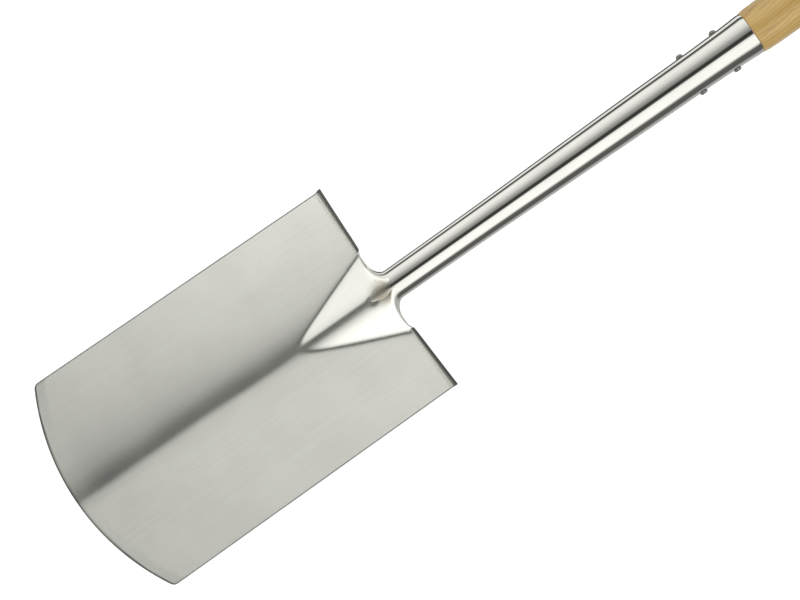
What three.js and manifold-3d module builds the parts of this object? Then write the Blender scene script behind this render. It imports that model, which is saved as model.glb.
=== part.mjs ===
// Digging spade: a pressed stainless blade with a raised frog and turned treads, welded to a
// rolled tapered socket, riveted to an ash shaft whose head is split into two arms for the grip.
// Millimetres. +Z runs up the shaft, the front of the blade faces -Y, +X is the right-hand side
// seen from the front. The origin is under the middle of the grip, where the spade hangs.
import * as THREE from 'three';
import { mergeVertices } from 'three/addons/utils/BufferGeometryUtils.js';
import Module from 'manifold-3d';

const wasm = await Module();
wasm.setup();

const CLEARANCE = 0.3;

// Heights along the shaft, all measured from the grip's underside
const GRIP_RADIUS = 17;
const TREAD_Z = -791;
const SOCKET_TOP_Z = TREAD_Z + 367;
const NECK_Z = TREAD_Z + 8;
const TENON_FOOT_Z = SOCKET_TOP_Z - 170;
const HEAD_Z = -172;
const ARM_TOP_Z = 36;

// Blade
const BLADE_WIDTH = 190;
const BLADE_LENGTH = 296;
const EDGE_RADIUS = 194;
const SHEET = 2;
const CRANK = THREE.MathUtils.degToRad(6);
const PLANE_Y = -1;
const DISH_SLOPE_TOP = 0.1;
const DISH_SLOPE_TIP = 0.085;
const DISH_CURVE = 0.0003;
const CREASE_LEFT = 17;
const CREASE_RIGHT = 4.5;

// Frog: two flat faces that meet in a ridge, on a V-shaped foot with a rounded point
const FROG_HALF_ANGLE = THREE.MathUtils.degToRad(20.7);
const FROG_SLOPE = Math.tan(THREE.MathUtils.degToRad(18.6));
const FROG_APEX = 100.7;
const FROG_TIP_HALF_WIDTH = 6.5;
const RIDGE_LEFT = 5.5;
const RIDGE_RIGHT = 8.5;
const SPREAD_LEFT = 1.055;
const SPREAD_RIGHT = 0.95;
const FROG_FILLET = 0.6;

// Shoulders between the treads and the neck
const NECK_RADIUS = 13;
const SHOULDER_DROP = 1.6;
const SHOULDER_HALF_WIDTH = 26;
const SHOULDER_FULLNESS = 1.7;
const FORM_LENGTH = 14;

// Treads
const TREAD_START = 38;
const TREAD_DEPTH_INNER = 6;
const TREAD_DEPTH_OUTER = 11;

// Rear plate of the frog
const PLATE_LENGTH = 108;
const PLATE_HALF_WIDTH = 36;
const PLATE_CLOSING = 12;
const CONE_HEIGHT = 10;
const CONE_SPREAD = 1.3;

// Socket: outside radius at each height above the treads
const SOCKET_WALL = 1.6;
const SOCKET_PROFILE = [
  [8, 13], [90, 13.7], [170, 15], [250, 16.3], [325, 17.2], [348, 17.8], [367, 18.8],
];

// Rivets through the socket: a domed head on the left, clenched flat on the right
const RIVET_RADIUS = 2.5;
const DOME_RADIUS = 3.2;
const DOME_HEIGHT = 2.6;
const CLENCH_RADIUS = 3.5;
const CLENCH_HEIGHT = 2.1;
const RIVET_HEIGHTS = { socket_rivet_upper: SOCKET_TOP_Z - 26, socket_rivet_lower: SOCKET_TOP_Z - 60 };

// Split head of the shaft
const ARM_WIDTH = 17;
const ARM_DEPTH = 31;
const ARM_X = 54;
const BODY_TAPER = 12;
const HEAD_RIVET_Z = HEAD_Z + 22;
const HEAD_RIVET_RADIUS = 2.2;
const HEAD_RIVET_HEAD_RADIUS = 4;
const HEAD_WASHER_RADIUS = 6.8;
const HEAD_WASHER_X = 16.9;
const WEDGE_FOOT_Z = HEAD_Z + 46;
const WEDGE_TOP_Z = HEAD_Z + 88;
const WEDGE_DEPTH = 26;

// Grip
const GRIP_END_RADIUS = 14.5;
const ROD_RADIUS = 3;
const ROD_HEAD_RADIUS = 5.5;
const ROD_WASHER_RADIUS = 10;
const WASHER_THICKNESS = 1.6;

// Long enough for a hole to pass right through the shaft or both arms
const THROUGH = 160;

const steel = { roughness: 0.28, metalness: 1 };
const stainless = () => new THREE.MeshStandardMaterial({ color: 0xc4c4c0, ...steel });
const rivetSteel = () => new THREE.MeshStandardMaterial({ color: 0xa9aaa8, ...steel, roughness: 0.35 });
const ash = () => new THREE.MeshStandardMaterial({ color: 0xc5a468, roughness: 0.45, metalness: 0 });

const spade = new THREE.Group();

function addPart(name, geometry, material) {
  const mesh = new THREE.Mesh(geometry, material);
  mesh.name = name;
  spade.add(mesh);
}

function toManifold(geometry) {
  const bare = geometry.clone();
  bare.deleteAttribute('normal');
  bare.deleteAttribute('uv');
  const merged = mergeVertices(bare, 1e-4);
  return new wasm.Manifold(new wasm.Mesh({
    numProp: 3,
    vertProperties: new Float32Array(merged.attributes.position.array),
    triVerts: new Uint32Array(merged.index.array),
  }));
}

function toGeometry(manifold) {
  const mesh = manifold.getMesh();
  const geometry = new THREE.BufferGeometry();
  geometry.setAttribute('position', new THREE.BufferAttribute(mesh.vertProperties, 3));
  geometry.setIndex(new THREE.BufferAttribute(mesh.triVerts, 1));
  geometry.computeVertexNormals();
  return geometry;
}

function join(...geometries) {
  return toGeometry(geometries.map(toManifold).reduce((whole, next) => whole.add(next)));
}

function cut(geometry, ...tools) {
  const whole = toManifold(geometry);
  return toGeometry(tools.map(toManifold).reduce((left, tool) => left.subtract(tool), whole));
}

function crossing(geometry, other) {
  return toGeometry(toManifold(geometry).intersect(toManifold(other)));
}

// A solid of revolution about X; the profile is a list of [x, radius]
function turnedAlongX(profile, segments) {
  const points = profile.map(([x, radius]) => new THREE.Vector2(radius, x));
  return new THREE.LatheGeometry(points, segments).rotateZ(-Math.PI / 2);
}

// A solid of revolution about Z; the profile is a list of [z, radius]
function turnedAlongZ(profile, segments) {
  const points = profile.map(([z, radius]) => new THREE.Vector2(radius, z));
  return new THREE.LatheGeometry(points, segments).rotateX(Math.PI / 2);
}

function pinAlongX(radius, length, x, z) {
  return new THREE.CylinderGeometry(radius, radius, length, 16).rotateZ(Math.PI / 2).translate(x, 0, z);
}

function reshape(geometry, move) {
  const position = geometry.attributes.position;
  const point = new THREE.Vector3();
  for (let i = 0; i < position.count; i += 1) {
    point.fromBufferAttribute(position, i);
    move(point);
    position.setXYZ(i, point.x, point.y, point.z);
  }
  return geometry;
}

function softMax(a, b, softness) {
  return (a + b + Math.hypot(a - b, softness)) / 2;
}

// ---------------------------------------------------------------- blade

// Height of the front face over the blade's flat plane, at x across and `down` below the treads
function dish(x, down) {
  const crease = x < 0 ? CREASE_LEFT : CREASE_RIGHT;
  const along = THREE.MathUtils.clamp(down / BLADE_LENGTH, 0, 1);
  const slope = THREE.MathUtils.lerp(DISH_SLOPE_TOP, DISH_SLOPE_TIP, along);
  return slope * (Math.hypot(x, crease) - crease) + DISH_CURVE * x ** 2;
}

function frog(x, down) {
  const rounding = x < 0 ? RIDGE_LEFT : RIDGE_RIGHT;
  const spread = x < 0 ? SPREAD_LEFT : SPREAD_RIGHT;
  const across = spread * (Math.hypot(x, rounding) - rounding) + FROG_TIP_HALF_WIDTH;
  const inside = (FROG_APEX - down) * Math.sin(FROG_HALF_ANGLE) - across * Math.cos(FROG_HALF_ANGLE);
  return softMax(FROG_SLOPE * inside, 0, FROG_FILLET);
}

// From the blade's own directions to the part's frame
function onBlade(x, down, height) {
  return new THREE.Vector3(
    x,
    PLANE_Y - down * Math.sin(CRANK) - height * Math.cos(CRANK),
    TREAD_Z - down * Math.cos(CRANK) + height * Math.sin(CRANK),
  );
}

function cuttingEdge(x) {
  return BLADE_LENGTH - (EDGE_RADIUS - Math.sqrt(EDGE_RADIUS ** 2 - x ** 2));
}

// Upper outline of the sheet, as a distance below the treads: level shoulders that sweep up the neck
function upperEdge(x) {
  if (Math.abs(x) >= TREAD_START) {
    return 0;
  }
  const reach = SHOULDER_HALF_WIDTH - NECK_RADIUS;
  const sweep = THREE.MathUtils.clamp((SHOULDER_HALF_WIDTH - Math.abs(x)) / reach, 0, 1);
  const rise = NECK_Z - TREAD_Z + SHOULDER_DROP;
  return SHOULDER_DROP - rise * (1 - (1 - sweep ** SHOULDER_FULLNESS) ** (1 / SHOULDER_FULLNESS));
}

// Columns crowd together where the outline turns up the neck
const COLUMN_SPREAD = [
  [0, 0],
  [0.32, 12.8],
  [0.52, SHOULDER_HALF_WIDTH],
  [0.62, TREAD_START],
  [1, BLADE_WIDTH / 2],
];

function columnX(fraction) {
  const size = Math.abs(fraction);
  const k = COLUMN_SPREAD.findIndex(([, ], i) => i > 0 && size <= COLUMN_SPREAD[i][0] + 1e-9);
  const [from, low] = COLUMN_SPREAD[k - 1];
  const [to, high] = COLUMN_SPREAD[k];
  return Math.sign(fraction) * THREE.MathUtils.mapLinear(size, from, to, low, high);
}

// Half of a round tube, front (side = -1) or rear (side = 1), closed just short of its widest line
function halfTubeY(x, radius, side) {
  const depth = Math.sqrt(Math.max(radius ** 2 - x ** 2, 0));
  return side * Math.max(depth, CLEARANCE / 2);
}

// How far the sheet has been rolled into the round of the neck: 0 on the blade, 1 at the weld
function rolled(x, down) {
  const upward = THREE.MathUtils.smoothstep(-down, -FORM_LENGTH, NECK_Z - TREAD_Z);
  return upward * (1 - THREE.MathUtils.smoothstep(Math.abs(x), NECK_RADIUS, TREAD_START));
}

function pressedSheet() {
  const blank = new THREE.BoxGeometry(2, SHEET, 1, 40, 1, 20);
  return reshape(blank, (point) => {
    const x = columnX(point.x);
    const down = THREE.MathUtils.lerp(cuttingEdge(x), upperEdge(x), (point.z + 0.5) ** 0.8);
    const back = point.y > 0 ? SHEET : 0;
    const flat = onBlade(x, down, dish(x, down) + frog(x, down) - back);
    const tube = new THREE.Vector3(x, halfTubeY(x, NECK_RADIUS - back, -1), TREAD_Z - down);
    point.copy(flat).lerp(tube, rolled(x, down));
  });
}

// One tread: the top of the sheet turned forward, deeper towards the corner
function tread(side) {
  const length = BLADE_WIDTH / 2 - TREAD_START;
  const strip = new THREE.BoxGeometry(length, 1, SHEET, 6, 1, 1);
  return reshape(strip, (point) => {
    const x = side * (BLADE_WIDTH / 2 - length / 2 + point.x * side);
    const outward = (Math.abs(x) - TREAD_START) / length;
    const depth = THREE.MathUtils.lerp(TREAD_DEPTH_INNER, TREAD_DEPTH_OUTER, outward);
    const height = dish(x, 0) + frog(x, 0) + (point.y > 0 ? -SHEET / 2 : depth);
    point.copy(onBlade(x, SHEET / 2 - point.z, height));
  });
}

addPart('blade', join(pressedSheet(), tread(-1), tread(1)), stainless());

// ---------------------------------------------------------------- rear plate of the frog

function plateHalfWidth(down) {
  return PLATE_HALF_WIDTH * Math.sqrt(Math.max(1 - Math.max(down, 0) / PLATE_LENGTH, 0.004));
}

// How far a half cone stands out of the plate, from the full tube at the neck to nothing at the point
function rearCone(x, down) {
  const left = 1 - THREE.MathUtils.clamp(down / PLATE_LENGTH, 0, 1);
  const reach = Math.max(CONE_SPREAD * NECK_RADIUS * left, 0.01);
  const across = Math.min(Math.abs(x) / reach, 1);
  return CONE_HEIGHT * left * (1 - across ** 2) ** 1.5;
}

function backPlate() {
  const blank = new THREE.BoxGeometry(2, SHEET, 1, 24, 1, 14);
  return reshape(blank, (point) => {
    const down = THREE.MathUtils.lerp(PLATE_LENGTH, SHOULDER_DROP, point.z + 0.5);
    const x = point.x * plateHalfWidth(down);
    const wall = point.y > 0 ? 0 : SHEET;
    const lift = (point.z + 0.5) ** 6 * (SHOULDER_DROP - upperEdge(x));
    const closed = THREE.MathUtils.smoothstep(lift - down, -SHOULDER_DROP - PLATE_CLOSING, -SHOULDER_DROP);
    const height = dish(x, down) + 0.8 * closed * frog(x, down) - SHEET - CLEARANCE;
    const base = onBlade(x, down - lift, height - (SHEET - wall));
    const restY = base.y + rearCone(x, down);
    const tubeY = halfTubeY(x, NECK_RADIUS - wall, 1);
    const neck = rolled(x, down - lift);
    const narrow = THREE.MathUtils.clamp(Math.abs(x) / SHOULDER_HALF_WIDTH, 0, 1) ** 4;
    const y = THREE.MathUtils.lerp(restY, Math.max(tubeY, restY * narrow), neck);
    point.set(x, y, THREE.MathUtils.lerp(base.z, TREAD_Z - down + lift, neck));
  });
}

addPart('frog_back_plate', backPlate(), stainless());

// ---------------------------------------------------------------- socket

function socketRadius(z) {
  const height = z - TREAD_Z;
  const next = SOCKET_PROFILE.findIndex(([level]) => height <= level);
  const [low, lowRadius] = SOCKET_PROFILE[Math.max(next - 1, 0)];
  const [high, highRadius] = SOCKET_PROFILE[Math.max(next, 1)];
  return THREE.MathUtils.mapLinear(height, low, high, lowRadius, highRadius);
}

function rivetHoles(radius) {
  return Object.values(RIVET_HEIGHTS).map((z) => pinAlongX(radius, THROUGH, 0, z));
}

const socketOutside = SOCKET_PROFILE.map(([height, radius]) => [TREAD_Z + height, radius]);
socketOutside[0][0] += CLEARANCE;
const socketInside = socketOutside.map(([z, radius]) => [z, radius - SOCKET_WALL]).reverse();
const socketProfile = [...socketOutside, ...socketInside, socketOutside[0]];
const socketTube = turnedAlongZ(socketProfile, 28);
addPart('socket', cut(socketTube, ...rivetHoles(RIVET_RADIUS + CLEARANCE)), stainless());

for (const [name, z] of Object.entries(RIVET_HEIGHTS)) {
  const outside = socketRadius(z) + CLEARANCE;
  const profile = [
    [-outside - DOME_HEIGHT, 0], [-outside - DOME_HEIGHT * 0.88, DOME_RADIUS * 0.45],
    [-outside - DOME_HEIGHT * 0.45, DOME_RADIUS * 0.8], [-outside, DOME_RADIUS],
    [-outside, RIVET_RADIUS], [outside, RIVET_RADIUS], [outside, CLENCH_RADIUS],
    [outside + CLENCH_HEIGHT * 0.65, CLENCH_RADIUS * 0.88], [outside + CLENCH_HEIGHT, CLENCH_RADIUS * 0.5],
    [outside + CLENCH_HEIGHT, 0],
  ];
  addPart(name, turnedAlongX(profile, 16).translate(0, 0, z), rivetSteel());
}

// ---------------------------------------------------------------- ash shaft with its split head

const TENON_PROFILE = [TENON_FOOT_Z, TENON_FOOT_Z + 60, SOCKET_TOP_Z - 42, SOCKET_TOP_Z - 19, SOCKET_TOP_Z]
  .map((z) => [z, socketRadius(z) - SOCKET_WALL - CLEARANCE]);
const BODY_PROFILE = [
  [SOCKET_TOP_Z + CLEARANCE, socketRadius(SOCKET_TOP_Z)], [SOCKET_TOP_Z + 6, 19.5],
  [SOCKET_TOP_Z + 14, 19.8], [SOCKET_TOP_Z + 60, 19.2], [SOCKET_TOP_Z + 120, 17.6],
  [HEAD_Z, ARM_WIDTH + 0.3], [HEAD_Z + BODY_TAPER, ARM_DEPTH / 2],
];

function shaftBody() {
  const foot = [TENON_FOOT_Z, 0];
  const neck = [SOCKET_TOP_Z + CLEARANCE, TENON_PROFILE.at(-1)[1]];
  return turnedAlongZ([foot, ...TENON_PROFILE, neck, ...BODY_PROFILE, [HEAD_Z + BODY_TAPER, 0]], 28);
}

// Middle line of one arm, from inside the shaft up past the grip
function armPath(side) {
  const places = [
    [8.8, HEAD_Z - 2], [8.9, HEAD_Z + 34], [13, HEAD_Z + 64], [26, HEAD_Z + 94],
    [43, HEAD_Z + 122], [52, HEAD_Z + 150], [ARM_X, HEAD_Z + 176], [ARM_X, ARM_TOP_Z],
  ];
  return new THREE.CatmullRomCurve3(places.map(([x, z]) => new THREE.Vector3(side * x, 0, z)));
}

// Section of an arm: a half round of the shaft that bulges on its outer side
function armSection(side, grow) {
  const half = ARM_DEPTH / 2 + grow;
  const inner = -ARM_WIDTH / 2 - grow;
  const outer = ARM_WIDTH / 2 + grow;
  const section = new THREE.Shape();
  section.moveTo(-half * 0.9, -side * inner);
  section.quadraticCurveTo(-half * 1.02, 0, -half * 0.72, -side * outer * 0.62);
  section.quadraticCurveTo(0, -side * outer * 1.38, half * 0.72, -side * outer * 0.62);
  section.quadraticCurveTo(half * 1.02, 0, half * 0.9, -side * inner);
  section.lineTo(-half * 0.9, -side * inner);
  return section;
}

function sweptArm(side, grow) {
  const path = armPath(side);
  const options = { steps: 16, bevelEnabled: false, extrudePath: path, curveSegments: 4 };
  return new THREE.ExtrudeGeometry(armSection(side, grow), options);
}

// Seen from the side, the arms end in a round eye about the rod
function roundedTop() {
  const radius = ARM_DEPTH / 2 + 0.8;
  const outline = new THREE.Shape();
  outline.moveTo(-30, HEAD_Z - 20);
  outline.lineTo(30, HEAD_Z - 20);
  outline.lineTo(radius, -30);
  outline.lineTo(radius, GRIP_RADIUS);
  outline.absarc(0, GRIP_RADIUS, radius, 0, Math.PI, false);
  outline.lineTo(-radius, -30);
  outline.lineTo(-30, HEAD_Z - 20);
  return new THREE.ExtrudeGeometry(outline, { depth: 200, bevelEnabled: false, curveSegments: 12 })
    .rotateX(Math.PI / 2).rotateZ(Math.PI / 2).translate(-100, 0, 0);
}

function washerSeat(side) {
  const radius = HEAD_WASHER_RADIUS + 2 * CLEARANCE;
  const seat = new THREE.CylinderGeometry(radius, radius, 8, 20).rotateZ(Math.PI / 2);
  return seat.translate(side * (HEAD_WASHER_X + 4), 0, HEAD_RIVET_Z);
}

const arms = join(sweptArm(-1, 0), sweptArm(1, 0));
const head = crossing(arms, roundedTop());
const shaftHoles = [
  ...rivetHoles(RIVET_RADIUS + CLEARANCE),
  pinAlongX(HEAD_RIVET_RADIUS + CLEARANCE, THROUGH, 0, HEAD_RIVET_Z),
  pinAlongX(ROD_RADIUS + CLEARANCE, THROUGH, 0, GRIP_RADIUS),
  washerSeat(-1), washerSeat(1),
];
addPart('shaft', cut(join(shaftBody(), head), ...shaftHoles), ash());

// Wedge that keeps the arms spread, filling the foot of the fork
function crotchWedge() {
  const outline = new THREE.Shape();
  outline.moveTo(-3, WEDGE_FOOT_Z);
  outline.lineTo(3, WEDGE_FOOT_Z);
  outline.lineTo(24, WEDGE_TOP_Z);
  outline.quadraticCurveTo(0, WEDGE_TOP_Z - 22, -24, WEDGE_TOP_Z);
  outline.lineTo(-3, WEDGE_FOOT_Z);
  const options = { depth: WEDGE_DEPTH, bevelEnabled: false, curveSegments: 8 };
  const block = new THREE.ExtrudeGeometry(outline, options)
    .rotateX(Math.PI / 2).translate(0, WEDGE_DEPTH / 2, 0);
  return cut(block, sweptArm(-1, CLEARANCE), sweptArm(1, CLEARANCE));
}

addPart('crotch_wedge', crotchWedge(), ash());

// ---------------------------------------------------------------- fasteners and grip

function washer(outer, inner) {
  const half = WASHER_THICKNESS / 2;
  return turnedAlongX([[-half, inner], [-half, outer], [half, outer], [half, inner], [-half, inner]], 24);
}

const headWasherX = HEAD_WASHER_X + CLEARANCE + WASHER_THICKNESS / 2;
const rodWasherX = ARM_X + ARM_WIDTH / 2 * 1.1 + CLEARANCE + WASHER_THICKNESS / 2;
for (const [side, label] of [[-1, 'left'], [1, 'right']]) {
  const small = washer(HEAD_WASHER_RADIUS, HEAD_RIVET_RADIUS + CLEARANCE);
  const large = washer(ROD_WASHER_RADIUS, ROD_RADIUS + CLEARANCE);
  addPart(`crotch_washer_${label}`, small.translate(side * headWasherX, 0, HEAD_RIVET_Z), rivetSteel());
  addPart(`grip_washer_${label}`, large.translate(side * rodWasherX, 0, GRIP_RADIUS), rivetSteel());
}

// A bar with a domed head at both ends
function doubleHeaded(radius, seatX, headRadius, headHeight) {
  const right = [
    [seatX, radius], [seatX, headRadius],
    [seatX + headHeight * 0.6, headRadius * 0.75], [seatX + headHeight, 0],
  ];
  const left = right.map(([x, r]) => [-x, r]).reverse();
  return turnedAlongX([...left, ...right], 16);
}

const headRivetSeat = headWasherX + WASHER_THICKNESS / 2 + CLEARANCE;
const rodSeat = rodWasherX + WASHER_THICKNESS / 2 + CLEARANCE;
const headRivet = doubleHeaded(HEAD_RIVET_RADIUS, headRivetSeat, HEAD_RIVET_HEAD_RADIUS, 1.6);
addPart('crotch_rivet', headRivet.translate(0, 0, HEAD_RIVET_Z), rivetSteel());
const gripRod = doubleHeaded(ROD_RADIUS, rodSeat, ROD_HEAD_RADIUS, 2.4);
addPart('grip_rod', gripRod.translate(0, 0, GRIP_RADIUS), rivetSteel());

// Turned crossbar, fullest in the middle, bored for the rod
function turnedGrip() {
  const half = ARM_X - ARM_WIDTH / 2 - CLEARANCE - 0.2;
  const outside = [];
  for (let i = 0; i <= 12; i += 1) {
    const x = THREE.MathUtils.lerp(-half, half, i / 12);
    outside.push([x, THREE.MathUtils.lerp(GRIP_RADIUS, GRIP_END_RADIUS, (x / half) ** 2)]);
  }
  const bore = ROD_RADIUS + CLEARANCE;
  const profile = [[-half, bore], ...outside, [half, bore], [-half, bore]];
  return turnedAlongX(profile, 28).translate(0, 0, GRIP_RADIUS);
}

addPart('grip', turnedGrip(), ash());

export default spade;
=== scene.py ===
"""Digging spade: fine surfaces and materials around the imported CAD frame. Metres, +Z up the shaft,
-Y the front of the blade, origin under the middle of the grip."""

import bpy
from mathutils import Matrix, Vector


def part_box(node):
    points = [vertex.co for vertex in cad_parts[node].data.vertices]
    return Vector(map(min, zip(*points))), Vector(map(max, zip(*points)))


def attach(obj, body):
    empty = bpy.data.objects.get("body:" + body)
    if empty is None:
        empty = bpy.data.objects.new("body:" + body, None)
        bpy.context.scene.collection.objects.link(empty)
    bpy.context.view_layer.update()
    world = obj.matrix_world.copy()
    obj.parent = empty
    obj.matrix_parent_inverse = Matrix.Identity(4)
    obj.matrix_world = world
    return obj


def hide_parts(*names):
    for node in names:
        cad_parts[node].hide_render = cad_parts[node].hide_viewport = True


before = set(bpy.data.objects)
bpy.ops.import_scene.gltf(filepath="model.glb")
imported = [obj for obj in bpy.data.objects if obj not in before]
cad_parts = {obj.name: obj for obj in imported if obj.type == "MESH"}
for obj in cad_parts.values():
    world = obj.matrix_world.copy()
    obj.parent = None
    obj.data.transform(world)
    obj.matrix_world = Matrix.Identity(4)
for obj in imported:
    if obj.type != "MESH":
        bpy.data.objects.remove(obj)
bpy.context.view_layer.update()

import math

import bpy
import numpy as np
from mathutils import Matrix, Vector

MM = 0.001


def top_of(node):
    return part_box(node)[1]


def foot_of(node):
    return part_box(node)[0]


# ---------------------------------------------------------------- dimensions, some read from the CAD nodes
TREAD_Z = top_of("blade")[2] - 8 * MM
SOCKET_TOP_Z = top_of("socket")[2]
ROD_Z = (top_of("grip")[2] + foot_of("grip")[2]) / 2
HALF_BLADE = top_of("blade")[0]
NECK_RADIUS = 13.0 * MM
BLADE_LENGTH = 296 * MM
EDGE_RADIUS = 194 * MM
CORNER_RADIUS = 3 * MM
SHEET = 2 * MM
CRANK = math.radians(6)
PLANE_Y = -1.0 * MM
DISH_SLOPE_TOP = 0.1
DISH_SLOPE_TIP = 0.085
CREASE_LEFT = 13.5 * MM
CREASE_RIGHT = 3.8 * MM
CREASE_LEAN = 2.2 * MM
DISH_CURVE = 0.3
FROG_HALF_ANGLE = math.radians(20.7)
FROG_SLOPE = math.tan(math.radians(18.6))
FROG_APEX = 100.7 * MM
RIDGE_LEFT = 5.5 * MM
RIDGE_RIGHT = 7 * MM
SPREAD_LEFT = 1.055
SPREAD_RIGHT = 0.92
FROG_TIP_HALF_WIDTH = 6.5 * MM
FROG_FILLET = 0.4 * MM
TREAD_START = 38 * MM
TREAD_DEPTH_INNER = 6 * MM
TREAD_DEPTH_OUTER = 11 * MM
FOLD_RADIUS = 3.5 * MM
FOLD_INSIDE = FOLD_RADIUS - SHEET
EDGE_WEAR = 9 * MM
SIDE_ROUNDING = 0.6 * MM
EDGE_WALL = 4 * MM
SHOULDER_DROP = 1.6 * MM
SHOULDER_HALF_WIDTH = 26 * MM
SHOULDER_FULLNESS = 1.7
NECK_RISE = 8 * MM
PLATE_LENGTH = 108 * MM
PLATE_HALF_WIDTH = 36 * MM
WELD_RADIUS = 0.75 * MM
SOCKET_WALL = 1.6 * MM
MOUTH_DIP = 3 * MM
MOUTH_NARROWING = 0.35 * MM
THROAT_FOOT = -20 * MM
SHAFT_RADIUS = 17.3 * MM
CONE_HEIGHT = 10 * MM
CONE_SPREAD = 1.3
HEAD_RIVET_Z = (top_of("crotch_washer_left")[2] + foot_of("crotch_washer_left")[2]) / 2
HEAD_Z = HEAD_RIVET_Z - 22 * MM


# ---------------------------------------------------------------- mesh helpers
def smoothstep(low, high, value):
    t = np.clip((value - low) / (high - low), 0, 1)
    return t * t * (3 - 2 * t)


def mix(a, b, t):
    return a + (b - a) * t


def soft_max(a, b, softness):
    return (a + b + np.hypot(a - b, softness)) / 2


def smooth_curve(stations, at):
    """Values at the places `at` on a smooth curve; a station is (place, value, ...)."""
    stations = np.array(stations)
    places, values = stations[:, 0], stations[:, 1:]
    slopes = np.gradient(values, places, axis=0)
    k = np.clip(np.searchsorted(places, at) - 1, 0, len(places) - 2)
    span = (places[k + 1] - places[k])[..., None]
    t = (np.asarray(at) - places[k])[..., None] / span
    return (values[k] * (1 + 2 * t) * (1 - t) ** 2 + slopes[k] * span * t * (1 - t) ** 2
            + values[k + 1] * t * t * (3 - 2 * t) + slopes[k + 1] * span * t * t * (t - 1))


def round_corners(points, radius, closed=False, steps=4):
    """The same outline with every corner cut back by up to `radius` and rounded."""
    points = [np.array(point, float) for point in points]
    count = len(points)
    outline = [] if closed else [points[0]]
    for i in range(0 if closed else 1, count if closed else count - 1):
        before, corner, after = points[i - 1], points[i], points[(i + 1) % count]
        back, ahead = before - corner, after - corner
        reach = min(radius, np.linalg.norm(back) * 0.45, np.linalg.norm(ahead) * 0.45)
        start = corner + back / np.linalg.norm(back) * reach
        end = corner + ahead / np.linalg.norm(ahead) * reach
        for t in np.linspace(0, 1, steps + 1):
            outline.append(start * (1 - t) ** 2 + corner * 2 * t * (1 - t) + end * t * t)
    return outline if closed else outline + [points[-1]]


def new_piece(name, vertices, faces, material, node, slot, sharp=40, grain=None, painted_shade=None):
    """Link one closed mesh; `grain` is its straightened coordinates and the last argument marks where
    painted shade turns the colour near black.
    """
    mesh = bpy.data.meshes.new(name)
    mesh.from_pydata([tuple(map(float, v)) for v in vertices], [], faces)
    mesh.validate()
    mesh.update()
    mesh.polygons.foreach_set("use_smooth", [True] * len(mesh.polygons))
    mesh.set_sharp_from_angle(angle=math.radians(sharp))
    straight = np.array([tuple(v) for v in vertices]) if grain is None else np.array(grain)
    layer = mesh.attributes.new("grain", "FLOAT_VECTOR", "POINT")
    layer.data.foreach_set("vector", straight.astype(np.float32).ravel())
    if painted_shade is not None:
        mask = mesh.attributes.new("painted_shade", "FLOAT", "POINT")
        mask.data.foreach_set("value", np.array(painted_shade, np.float32))
    piece = bpy.data.objects.new(name, mesh)
    bpy.context.scene.collection.objects.link(piece)
    piece.data.materials.append(material)
    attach(piece, "root")
    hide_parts(node)


def loft(rings, caps="fan"):
    """Vertices and faces through closed rings of equal length; the caps are fans or strips across.

    The faces point out when the rings turn anticlockwise seen from the last ring.
    """
    count, around = rings.shape[:2]
    vertices = list(rings.reshape(-1, 3))
    faces = []
    for i in range(count - 1):
        for j in range(around):
            k = (j + 1) % around
            faces.append((i * around + j, i * around + k, (i + 1) * around + k, (i + 1) * around + j))
    for ring, flip in ((0, True), (count - 1, False)) if caps != "none" else ():
        base = ring * around
        if caps == "strip":
            for j in range(around // 2 - 1):
                quad = (base + j, base + j + 1, base + around - 2 - j, base + around - 1 - j)
                faces.append(quad[::-1] if flip else quad)
        else:
            vertices.append(rings[ring].mean(axis=0))
            centre = len(vertices) - 1
            for j in range(around):
                k = (j + 1) % around
                triangle = (base + j, base + k, centre)
                faces.append(triangle[::-1] if flip else triangle)
    return vertices, faces


# ---------------------------------------------------------------- blade
def dish(x, down):
    """Height of the two dished halves, which meet in a crease that leans to the left further down."""
    x = x + CREASE_LEAN * smoothstep(105 * MM, 190 * MM, down)
    softness = np.where(x < 0, CREASE_LEFT, CREASE_RIGHT)
    slope = mix(DISH_SLOPE_TOP, DISH_SLOPE_TIP, np.clip(down / BLADE_LENGTH, 0, 1))
    return slope * (np.hypot(x, softness) - softness) + DISH_CURVE * x ** 2


def frog(x, down):
    """Height of the raised triangle below the neck."""
    rounding = np.where(x < 0, RIDGE_LEFT, RIDGE_RIGHT)
    spread = np.where(x < 0, SPREAD_LEFT, SPREAD_RIGHT)
    across = spread * (np.hypot(x, rounding) - rounding) + FROG_TIP_HALF_WIDTH
    inside = (FROG_APEX - down) * math.sin(FROG_HALF_ANGLE) - across * math.cos(FROG_HALF_ANGLE)
    return soft_max(FROG_SLOPE * inside, 0, FROG_FILLET)


def dimple(x, down):
    """A small dent left in the ridge where the frog meets the foot of the socket."""
    return 0.4 * MM * np.exp(-((x - 1.5 * MM) ** 2 + (down - 15 * MM) ** 2) / (2 * (2.5 * MM) ** 2))


def on_blade(x, down, height):
    """A point in the part's frame, from its place on the cranked plane of the blade."""
    y = PLANE_Y - down * math.sin(CRANK) - height * math.cos(CRANK)
    z = TREAD_Z - down * math.cos(CRANK) + height * math.sin(CRANK)
    return np.stack(np.broadcast_arrays(x, y, z), axis=-1)


def cutting_edge(x):
    """Distance of the cutting edge below the treads."""
    size = np.abs(x)
    arc = EDGE_RADIUS - np.sqrt(EDGE_RADIUS ** 2 - size ** 2)
    past = np.clip(size - (HALF_BLADE - CORNER_RADIUS), 0, CORNER_RADIUS)
    corner = CORNER_RADIUS - np.sqrt(CORNER_RADIUS ** 2 - past ** 2)
    return BLADE_LENGTH - arc - corner


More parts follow.
